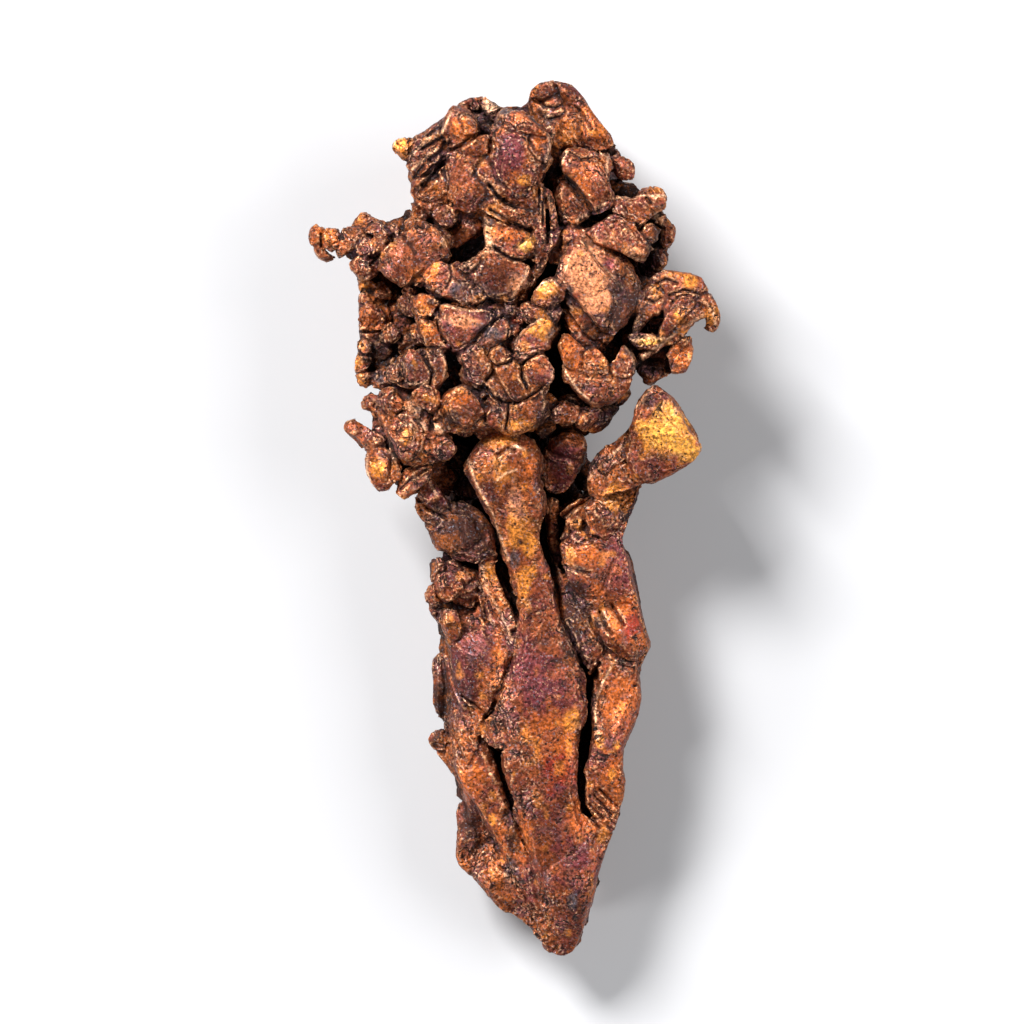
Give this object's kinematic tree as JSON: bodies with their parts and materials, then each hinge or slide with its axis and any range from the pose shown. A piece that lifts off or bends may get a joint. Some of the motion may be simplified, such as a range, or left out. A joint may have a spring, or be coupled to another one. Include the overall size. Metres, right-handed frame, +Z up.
{
  "type": "native copper nugget",
  "caption": "Native copper nugget: a lumpy crown of fused nodules above a folded, blade-like body with a blunt tip.",
  "frame": {"origin": "centre of the bounding box's bottom, on the surface that the nugget lies on", "axes": "+Y from the blunt tip towards the lumpy crown, +Z up out of the richest face, +X to the right seen from above with the crown up"},
  "size_m": [0.0514, 0.11, 0.0296],
  "materials": {
    "native_copper": "weathered native copper, rust brown with plum, orange and ochre patches, finely pitted, half glossy"
  },
  "bodies": {
    "root": {"copper_nugget": "native_copper"}
  },
  "joints": []
}
